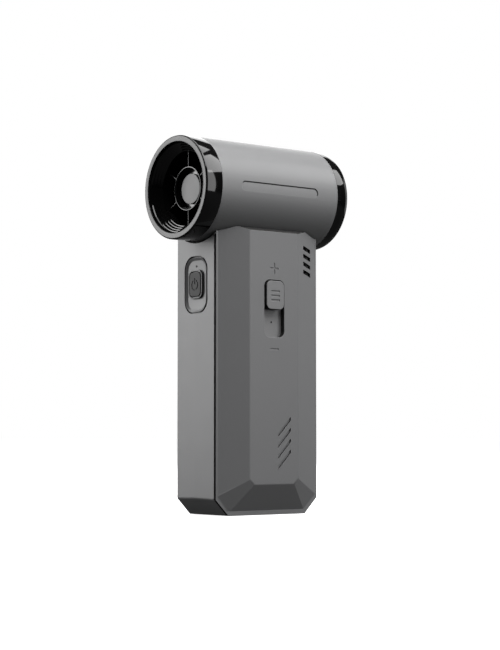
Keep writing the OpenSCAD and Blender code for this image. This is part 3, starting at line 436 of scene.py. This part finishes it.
# The cover's rim at X 13.2 stands back too.
cover_rim_back = 0.16
side_cover = rounded_copy("side_cover", "handle_cover", cover_grey, cover_edge,
                          move=lambda x, y, z: (cover_rim_back if 13.15 < x < 13.25 else 0.0, 0, 0))
# painted shade: the parting gap, the cooling slots, the grip grooves, the slot's walls and the saddle's gap
# are painted black, where shade falls on the same grey plastic
lined(side_cover, lambda x, y, z, n: (x < 13.3 and n.x < 0.5)
      or (in_vents(y, z) and x > 13.5 and depth_under(cover_planes, x, y, z) > 0.1)
      or (in_grooves(y, z) and x > 17 and n.x < 0.8 and depth_under(cover_planes, x, y, z) > 0.06)
      or (in_slot(y, z) and 16.2 < x < 18.35 and abs(n.x) < 0.3)
      or (z > 117 and n.z > 0.6), painted_shade_black)

# ---------------------------------------------------------------------------------------------
# Barrel: a moulded tube of the same plastic with a shallow stadium recess on the slider's side,
# drawn as a grid of angle and length, and its neck, which stays the solid model's.
# ---------------------------------------------------------------------------------------------


def made_mesh(name, points, faces, material, body="housing", node=None, crease=35):
    """An object from points in mm; normals are turned outward and edges over `crease` stay sharp."""
    mesh = bpy.data.meshes.new(name)
    mesh.from_pydata((np.asarray(points, float) / 1000).tolist(), [], [tuple(map(int, f)) for f in faces])
    bm = bmesh.new()
    bm.from_mesh(mesh)
    bmesh.ops.remove_doubles(bm, verts=bm.verts, dist=1e-7)
    bmesh.ops.recalc_face_normals(bm, faces=bm.faces)
    for f in bm.faces:
        f.smooth = True
    bm.to_mesh(mesh)
    bm.free()
    mesh.set_sharp_from_angle(angle=math.radians(crease))
    mesh.materials.append(material)
    made = bpy.data.objects.new(name, mesh)
    scene.collection.objects.link(made)
    if node:
        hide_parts(node)
    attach(made, body)
    return made


def grid_faces(rows, cols, wrap_rows=False, wrap_cols=False):
    """Quads of a grid of points stored row by row."""
    r = np.arange(rows if wrap_rows else rows - 1)
    c = np.arange(cols if wrap_cols else cols - 1)
    i, j = np.meshgrid(r, c, indexing="ij")
    i2, j2 = (i + 1) % rows, (j + 1) % cols
    return np.stack([i * cols + j, i * cols + j2, i2 * cols + j2, i2 * cols + j], -1).reshape(-1, 4)


barrel_r, barrel_in_r = 23, 21.4
barrel_y0, barrel_y1 = -32.5, 34.0      # its ends, where the two rings start
recess_r = 2.2                          # half height of the recess, and the radius of its ends
recess_half_l = 19.8                    # half length of its straight part


def barrel_points():
    """Outer skin r = barrel_r - dip(u, y), u = arc length from the +X line, and a plain inner skin.

    The dip fills a stadium of 44 by 4.4 mm. It is 0.3 mm deep under its upper edge and runs out to
    nothing at the lower one. The grid is fine across it and round its ends. Both of the tube's end
    edges are rounded over 0.18 mm.
    """
    once = 2 * math.pi * barrel_r
    u = np.concatenate([np.linspace(-2.9, 2.9, 75), np.linspace(2.9, once - 2.9, 150)[1:-1]])
    y_end = np.linspace(19.2, 22.6, 35)
    y = np.concatenate([np.linspace(barrel_y0, -22.6, 12)[:-1], -y_end[::-1],
                        np.linspace(-19.2, 19.2, 40)[1:-1], y_end, np.linspace(22.6, barrel_y1, 12)[1:]])
    uu, yy = np.meshgrid(u, y, indexing="ij")
    short = np.where(uu > once / 2, uu - once, uu)
    off = np.hypot(short, np.maximum(np.abs(yy) - recess_half_l, 0)) - recess_r
    t = np.clip((0.05 - off) / 0.2, 0, 1)
    floor = 0.3 * np.clip((short + 2.4) / 4.4, 0, 1)
    r = barrel_r - floor * t * t * (3 - 2 * t)
    end = np.minimum(yy - barrel_y0, barrel_y1 - yy)
    r = r - np.maximum(0.18 - end, 0) ** 2 / 0.36
    a = uu / barrel_r
    outer = np.stack([r * np.cos(a), yy, axis_z + r * np.sin(a)], -1)
    inner = np.stack([barrel_in_r * np.cos(a), yy, axis_z + barrel_in_r * np.sin(a)], -1)[:, ::-1]
    return np.concatenate([outer, inner], 1)


points = barrel_points()
barrel_grey = finish_of("barrel_satin_grey", (0.185, 0.186, 0.189), 0.40, depth=0.000005, dust=0.03)
barrel = made_mesh("barrel_tube", points.reshape(-1, 3),
                   grid_faces(points.shape[0], points.shape[1], wrap_rows=True, wrap_cols=True), barrel_grey)


def recess_wall(x, y, z):
    """The steep part of the dip's wall, along its upper edge and round its inlet end."""
    short = barrel_r * math.atan2(z - axis_z, x)
    off = math.hypot(short, max(abs(y) - recess_half_l, 0)) - recess_r
    return -0.5 < off < 0.06 and y > -21.2 and x > 0 and short > (-1.0 if y > 20 else 0.9)


# painted shade: the dip's steep wall is painted black, for the shade along its upper edge and round its
# inlet end
lined(barrel, lambda x, y, z, n: recess_wall(x, y, z), painted_shade_black)

# The neck is what is left of the solid model's barrel below the tube.
bm = bmesh.new()
bm.from_mesh(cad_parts["barrel"].data)
bmesh.ops.remove_doubles(bm, verts=bm.verts, dist=2e-6)
tube = []
for f in bm.faces:
    middle = f.calc_center_median() * 1000
    if math.hypot(middle.x, middle.z - axis_z) < barrel_r + 0.1 and middle.z > 122.7:
        tube.append(f)
bmesh.ops.delete(bm, geom=tube, context="FACES")
neck_mesh = bpy.data.meshes.new("barrel_neck")
bm.to_mesh(neck_mesh)
bm.free()
neck_mesh.materials.append(barrel_grey)
neck = bpy.data.objects.new("barrel_neck", neck_mesh)
scene.collection.objects.link(neck)
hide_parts("barrel")
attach(neck, "housing")

# ---------------------------------------------------------------------------------------------
# End rings: gloss black mouldings, each drawn from one profile and pressed into the barrel. The
# outlet's has a satin lip, the nozzle's seat, and a funnel that narrows in four steps to the duct.
# ---------------------------------------------------------------------------------------------


def turned(name, profile, material, node=None, body="housing", steps=128, close=True, crease=35):
    """A surface of revolution about the fan's axis. profile is a list of (radius, y) in mm."""
    profile = np.asarray(profile, float)
    a = np.linspace(0, 2 * math.pi, steps, endpoint=False)
    r, y = profile[:, 0], profile[:, 1]
    points = np.stack([r[None, :] * np.cos(a)[:, None], np.broadcast_to(y, (steps, len(y))),
                       axis_z + r[None, :] * np.sin(a)[:, None]], -1)
    faces = grid_faces(steps, len(profile), wrap_rows=True, wrap_cols=close)
    return made_mesh(name, points.reshape(-1, 3), faces, material, body, node, crease)


def arc(cx, cy, r, a0, a1, n):
    """Points on a round edge in the plane of radius and y, angles in degrees from +radius to +y."""
    turns = [math.radians(t) for t in np.linspace(a0, a1, n)]
    return [(cx + r * math.cos(t), cy + r * math.sin(t)) for t in turns]


gloss_black = finish_of("ring_gloss_black", (0.0035, 0.0035, 0.0036), 0.06, depth=0.0000004, scale=400,
                        mottle=0.2, smudge=0.03, dust=0.01)


ring_y = 41.3           # both rings end this far from the middle
seat_r = 20.3           # the nozzle's seat inside the lip
duct_r = 16.6
duct_y0 = -34.8         # where the duct meets the funnel
ring_tail_r = 21.3      # the part that goes into the barrel


def funnel_profile():
    """From the seat to the duct: four steep cones, each ending in a narrow ledge that leans 14 degrees
    towards the axis. Each step goes in by 0.925 mm and back by 1.05 mm."""
    steps = [(seat_r, -41.0), (seat_r, -39.8)]
    r, y = seat_r, -39.8
    for _ in range(4):
        steps += [(r - 0.57, y + 0.93), (r - 0.61, y + 0.96), (r - 0.895, y + 1.03), (r - 0.925, y + 1.05)]
        r, y = r - 0.925, y + 1.05
    return steps


outlet_profile = (arc(seat_r + 0.12, -ring_y + 0.12, 0.12, 180, 270, 4)
                  + arc(barrel_r - 0.8, -ring_y + 0.8, 0.8, 270, 360, 11)
                  + arc(barrel_r - 0.12, barrel_y0 - 0.12, 0.12, 0, 90, 4)
                  + [(ring_tail_r, barrel_y0), (ring_tail_r, -28.5), (17.85, -28.5), (17.85, duct_y0),
                     (duct_r, duct_y0)] + funnel_profile()[::-1])
outlet_ring = turned("outlet_ring_gloss", outlet_profile, gloss_black, "outlet_ring")
lip_black = finish_of("lip_satin_black", (0.004, 0.004, 0.0041), 0.3, depth=0.000002, mottle=0.2,
                      smudge=0.04, specular=0.4)
lined(outlet_ring, lambda x, y, z, n: y < -41.0 and n.y < -0.9, lip_black)

# the inlet's ring: a quarter ellipse of 2.1 by 5 mm outside, a rounded mouth, and the grille's seat
quarter = np.linspace(0, math.pi / 2, 20)
inlet_profile = ([(barrel_r, barrel_y1)]
                 + [(20.9 + 2.1 * math.cos(t), 36.3 + 5.0 * math.sin(t)) for t in quarter]
                 + arc(20.6 + 0.15, ring_y - 0.15, 0.15, 90, 180, 4)
                 + [(20.6, 37.0), (19.6, 37.0), (19.6, 30.0), (ring_tail_r, 30.0), (ring_tail_r, barrel_y1)])
turned("inlet_ring_gloss", inlet_profile, gloss_black, "inlet_ring")

# ---------------------------------------------------------------------------------------------
# Duct and motor hub: black mouldings behind the funnel. The hub is a tube whose mouth slopes in to
# a round satin cap, and six guide vanes hold it. The inlet has a moulded grille.
# ---------------------------------------------------------------------------------------------

duct_black = finish_of("duct_semi_gloss_black", (0.0045, 0.0045, 0.0047), 0.16, depth=0.000003, scale=1500,
                       mottle=0.15, smudge=0.08, dust=0.02)
duct_y1, duct_out_r = 11.2, 17.8
turned("duct_tube", [(duct_r, duct_y0), (duct_r, duct_y1), (duct_out_r, duct_y1), (duct_out_r, duct_y0)],
       duct_black, "fan_duct")

# the hub: a rounded mouth, an outer wall of radius 10, a floor round the shaft and a bore of 9.3
hub_profile = (arc(9.6, -34.25, 0.2, 250, 360, 6)
               + [(9.8, -33.0), (10.0, -32.0), (10.0, -9.6), (2.2, -9.6), (2.2, -11.0), (9.3, -11.0),
                  (9.3, -30.4), (9.3, -32.2)] + arc(9.45, -34.3, 0.2, 180, 250, 4))
turned("motor_hub", hub_profile, duct_black, "fan_duct")


def vane(degrees):
    """A flat vane with a half-round leading edge: an outline in Y and thickness, drawn at two radii."""
    half, front, back = 0.42, -34.0, -14.2
    nose = [(front + half - half * math.cos(t), half * math.sin(t)) for t in np.linspace(1.2, -1.2, 7)]
    outline = [(back, -half), (back, half), (front + half, half)] + nose + [(front + half, -half)]
    c, s = math.cos(math.radians(degrees)), math.sin(math.radians(degrees))
    rows = [[(r * c - t * s, y, axis_z + r * s + t * c) for y, t in outline] for r in (9.7, 16.8)]
    n = len(outline)
    faces = list(grid_faces(2, n, wrap_cols=True)) + [tuple(range(n)), tuple(range(2 * n - 1, n - 1, -1))]
    return made_mesh("guide_vane_%03d" % degrees, [p for row in rows for p in row], faces, duct_black,
                     node="fan_duct")


for degrees in (30, 90, 150, 210, 270, 330):
    vane(degrees)

# painted reflection: the cap's front disc is coloured grey for the light it reflects; behind the disc the
# cap is the duct's black
cap_reflection_grey = finish_of("cap_painted_reflection_grey", (0.08, 0.08, 0.0815), 0.42, depth=0.000004, mottle=0.06, dust=0.03)
# the cap: a slightly domed disc, a flange that sits in the hub's bore, and a hollow stem
cap_profile = ([(0, -32.75), (3, -32.74), (6.2, -32.7)] + arc(6.6, -32.48, 0.2, 270, 350, 5)
               + [(6.8, -31.2), (9.2, -31.15), (9.2, -30.8), (5.2, -30.8), (5.2, -28.0), (4.0, -28.0),
                  (4.0, -30.9), (0, -30.9)])
hub_cap = turned("hub_cap_disc", cap_profile, cap_reflection_grey, "hub_cap", close=False)
lined(hub_cap, lambda x, y, z, n: y > -32.3, duct_black)

grille_black = finish_of("grille_black", (0.012, 0.012, 0.0125), 0.35, depth=0.00001, dust=0.08)
rounded_copy("inlet_grille", "inlet_grille_bars", grille_black,
             lambda x, y, z, length, convex, *_: 0.2 if convex and y > 38.4 else 0.0, segments=2)

# ---------------------------------------------------------------------------------------------
# Power button: a dish with a sloping wall let into the front face, a raised rim round the button,
# a darker cap with an engraved power mark, and a pin-head window for the status light.
# ---------------------------------------------------------------------------------------------


def rounded_loop(half_w, half_h, radius, n=10):
    """Corner points of a rounded rectangle, anticlockwise, as (x, z)."""
    points = []
    for sx, sz, start in ((1, 1, 0), (-1, 1, 90), (-1, -1, 180), (1, -1, 270)):
        for t in np.linspace(start, start + 90, n):
            a = math.radians(t)
            points.append((sx * (half_w - radius) + radius * math.cos(a),
                           sz * (half_h - radius) + radius * math.sin(a)))
    return points


def stacked(name, loops, x0, z0, material, node, lid_first=False, lid_last=False, ring=False):
    """A skin through rounded rectangles. loops is a list of (half width, half height, radius, y) in mm."""
    rows = [[(x0 + x, y, z0 + z) for x, z in rounded_loop(w, h, r)] for w, h, r, y in loops]
    n = len(rows[0])
    faces = list(grid_faces(len(rows), n, wrap_rows=ring, wrap_cols=True))
    if lid_first:
        faces.append(tuple(range(n)))
    if lid_last:
        faces.append(tuple(range(len(rows) * n - 1, (len(rows) - 1) * n - 1, -1)))
    return made_mesh(name, [p for row in rows for p in row], faces, material, node=node, crease=40)


def inset(w, h, r, by, y):
    """The rounded rectangle that lies `by` inside another, at depth y."""
    return (w - by, h - by, max(r - by, 0.2), y)


# the dish: a raised lip, a wall that slopes in and back, and a flat floor
dish = (7.68, 12.08, 5.5)
stacked("button_dish", [inset(*dish, 0.0, -27.9), inset(*dish, 0.0, -29.0), inset(*dish, 0.04, -29.1),
                        inset(*dish, 0.12, -29.14), inset(*dish, 0.22, -29.1), inset(*dish, 1.15, -28.42),
                        inset(*dish, 1.25, -28.38), inset(*dish, 1.4, -28.36)],
        panel_x, panel_z, shell_grey, "power_panel", lid_first=True, lid_last=True)

# the rim: 0.62 mm thick with a rounded top
button_x, button_z = -1.1, 101.7
rim = (4.95, 6.4, 3.0)
rim_skin = stacked("button_rim",
                   [inset(*rim, 0.0, -28.2), inset(*rim, 0.0, -29.1), inset(*rim, 0.06, -29.22),
                    inset(*rim, 0.2, -29.3), inset(*rim, 0.4, -29.32), inset(*rim, 0.55, -29.27),
                    inset(*rim, 0.62, -29.15), inset(*rim, 0.62, -28.2)],
                   button_x, button_z, shell_grey, "power_panel", ring=True)
# painted shade: the rim's inner and outer sides are painted black
lined(rim_skin, lambda x, y, z, n: abs(n.y) < 0.3, painted_shade_black)

cap_dark = finish_of("button_satin_dark_grey", (0.035, 0.0353, 0.036), 0.5, depth=0.000005, dust=0.03,
                     specular=0.22)


def mark_reach(x, z):
    """Distance in mm from the middle of the engraved power mark, which is 3.2 in radius."""
    return math.hypot(x - button_x, z - 101.4)


def button_edge(x, y, z, *_):
    """Widths on the cap: its front edge, and the fine edges of the mark."""
    if y < -29.0:
        return 0.05 if mark_reach(x, z) < 3.2 else 0.3
    return 0.0


# The cap's front is brought back by 0.62 mm, to stand a little inside its rim. Its sides and back are
# painted black, as painted shade in the gap round it.
cap_back = 0.62
button = rounded_copy("power_button", "power_button_cap", cap_dark, button_edge, body="button",
                      move=lambda x, y, z: (0, cap_back if y < -29.5 else 0.0, 0))
lined(button, lambda x, y, z, n: (abs(n.y) < 0.3 and mark_reach(x, z) > 3.4) or y > -29.0, painted_shade_black)

# ---------------------------------------------------------------------------------------------
# Speed slider: a moulded knob with three grip grooves, on a plate that closes its slot as it
# travels. Both are satin grey plastic, and the plate has one small dimple.
# ---------------------------------------------------------------------------------------------


def knob_edge(x, y, z, *_):
    """Widths on the knob: its front edge, and the finer edges of the grooves."""
    if x > 19.0:
        return 0.12 if abs(y) < 2.6 and abs(z - 96.8) < 2.6 else 0.3
    return 0.0


knob_z = 97.15
knob_grey = finish_of("knob_satin_grey", (0.17, 0.171, 0.174), 0.4, depth=0.000006, dust=0.04)
knob = rounded_copy("speed_knob", "speed_knob_cap", knob_grey, knob_edge, body="slider")
# painted shade: the knob's outer sides are painted black, for the gap round it
lined(knob, lambda x, y, z, n: abs(n.x) < 0.3 and max(abs(y), abs(z - knob_z)) > 4.2, painted_shade_black)

dimple_y, dimple_z = 0.2, 85.25
plate_grey = finish_of("slot_plate_satin_grey", (0.19, 0.19, 0.193), 0.45, depth=0.000008, dust=0.06)
plate = rounded_copy("slider_shutter", "slot_plate", plate_grey, lambda *_: 0.0, body="slider")
# painted shade: the dimple is painted black
lined(plate, lambda x, y, z, n: math.hypot(y - dimple_y, z - dimple_z) < 0.5, painted_shade_black)

# ---------------------------------------------------------------------------------------------
# Charging port and case screws: a drawn steel shell in the rear face, and dark screws in deep
# counterbores on the left side. Both keep the solid model's shapes.
# ---------------------------------------------------------------------------------------------


def with_lines(material, axis, pitch, depth, sharp=False):
    """Adds fine parallel lines across one axis to a material: turning marks, sheets or windings."""
    tree = material.node_tree
    place = tree.nodes.new("ShaderNodeTexCoord")
    lines = tree.nodes.new("ShaderNodeTexWave")
    lines.bands_direction = axis
    lines.wave_profile = "SAW" if sharp else "SIN"
    lines.inputs["Scale"].default_value = 1 / (20 * pitch)
    lines.inputs["Distortion"].default_value = 0.4
    lines.inputs["Detail"].default_value = 2
    bump = tree.nodes.new("ShaderNodeBump")
    bump.inputs["Distance"].default_value = depth
    group = next(n for n in tree.nodes if n.type == "GROUP")
    p = tree.nodes["Principled BSDF"]
    tree.links.new(place.outputs["Object"], lines.inputs["Vector"])
    tree.links.new(lines.outputs["Fac"], bump.inputs["Height"])
    tree.links.new(group.outputs["Normal"], bump.inputs["Normal"])
    tree.links.new(bump.outputs["Normal"], p.inputs["Normal"])
    return material


def dress(material, *names):
    """Gives solid-model nodes a material."""
    for name in names:
        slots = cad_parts[name].data.materials
        slots.clear()
        slots.append(material)


port_steel = finish_of("port_steel", (0.52, 0.52, 0.53), 0.28, scale=900, depth=0.000003, mottle=0.1,
      smudge=0.2, metal=1.0)
dress(port_steel, "usb_port")
screw_dark = with_lines(finish_of("screw_blackened_steel", (0.06, 0.06, 0.063), 0.35, scale=1200,
      mottle=0.25, smudge=0.2, metal=1.0), "X", 0.0003, 0.00001)
dress(screw_dark, "case_screws")
window = finish_of("status_window_smoked", (0.006, 0.006, 0.006), 0.5, mottle=0.1, smudge=0.05,
      specular=0.15)
dress(window, "indicator_lens")

# ---------------------------------------------------------------------------------------------
# Inside: fan, motor, boards and battery. They keep the solid model's shapes; each has the surface
# of its own material, seen through the grille, the slots and the port.
# ---------------------------------------------------------------------------------------------

dress(finish_of("impeller_nylon", (0.03, 0.031, 0.034), 0.32, scale=1800, mottle=0.2, smudge=0.15,
      dust=0.1), "impeller")
dress(with_lines(finish_of("turned_steel", (0.55, 0.55, 0.56), 0.25, mottle=0.1, smudge=0.2, metal=1.0),
      "Y", 0.0004, 0.000006), "motor_shaft", "impeller_nut", "bearing_outer_races",
      "bearing_inner_races", "neck_screws", "board_screws")
dress(finish_of("ball_steel", (0.7, 0.7, 0.71), 0.12, mottle=0.06, smudge=0.05, metal=1.0), "bearing_balls")
dress(with_lines(finish_of("lamination_steel", (0.3, 0.3, 0.31), 0.4, mottle=0.2, smudge=0.2, metal=1.0),
      "Y", 0.00035, 0.00003, True), "stator_core")
dress(with_lines(finish_of("copper_winding", (0.6, 0.2, 0.07), 0.3, mottle=0.3, smudge=0.2, metal=1.0),
      "Z", 0.0005, 0.0001), "stator_coils")
dress(finish_of("magnet_nickel", (0.25, 0.25, 0.27), 0.3, mottle=0.25, smudge=0.2, metal=1.0),
      "rotor_magnet")
dress(finish_of("damper_rubber", (0.012, 0.012, 0.012), 0.75, scale=2500, depth=0.00003, mottle=0.3,
      dust=0.2), "damper_rings")
dress(finish_of("bell_nylon", (0.02, 0.02, 0.022), 0.35, mottle=0.2, smudge=0.15, dust=0.1), "inlet_bell")
dress(with_lines(finish_of("circuit_board_green", (0.012, 0.09, 0.035), 0.3, scale=2200, depth=0.00001,
      mottle=0.5, smudge=0.2), "DIAGONAL", 0.0009, 0.00002), "main_board", "motor_board", "button_board",
      "usb_board")
dress(finish_of("chip_epoxy", (0.012, 0.012, 0.014), 0.5, scale=2500, depth=0.00001, mottle=0.3),
      "board_chips")
dress(with_lines(finish_of("capacitor_sleeve", (0.02, 0.035, 0.1), 0.3, mottle=0.2, smudge=0.2), "X",
      0.003, 0.00003), "capacitors")
dress(finish_of("connector_nylon", (0.75, 0.71, 0.6), 0.4, mottle=0.1, smudge=0.1), "wire_connectors")
dress(finish_of("lead_sleeve_yellow", (0.6, 0.36, 0.03), 0.4, mottle=0.15, smudge=0.1), "motor_leads")
dress(finish_of("lead_sleeve_red", (0.45, 0.02, 0.012), 0.4, mottle=0.15, smudge=0.1), "battery_leads")
dress(with_lines(finish_of("cell_wrap_blue", (0.03, 0.16, 0.3), 0.28, mottle=0.12, smudge=0.25), "Z",
      0.012, 0.00004), "battery_cells")
dress(finish_of("cradle_nylon", (0.03, 0.03, 0.033), 0.45, mottle=0.2, dust=0.1), "battery_cradle")
dress(finish_of("nickel_sheet", (0.6, 0.58, 0.54), 0.25, mottle=0.15, smudge=0.25, metal=1.0),
      "nickel_strips")
dress(finish_of("foam_grey", (0.06, 0.06, 0.063), 0.9, scale=1500, depth=0.0002, mottle=0.5), "foam_pads")
dress(finish_of("plunger_nylon", (0.55, 0.42, 0.25), 0.4, mottle=0.1), "switch_plunger")
dress(finish_of("switch_housing", (0.02, 0.02, 0.022), 0.4, mottle=0.2), "tact_switch")
dress(finish_of("led_resin", (0.75, 0.76, 0.68), 0.2, mottle=0.1), "status_led")
dress(finish_of("lever_acetal", (0.7, 0.7, 0.71), 0.35, mottle=0.08), "pot_lever")
dress(with_lines(finish_of("slide_pot_steel", (0.45, 0.45, 0.47), 0.35, mottle=0.2, smudge=0.25,
      metal=1.0), "Z", 0.0006, 0.000006), "slide_pot")
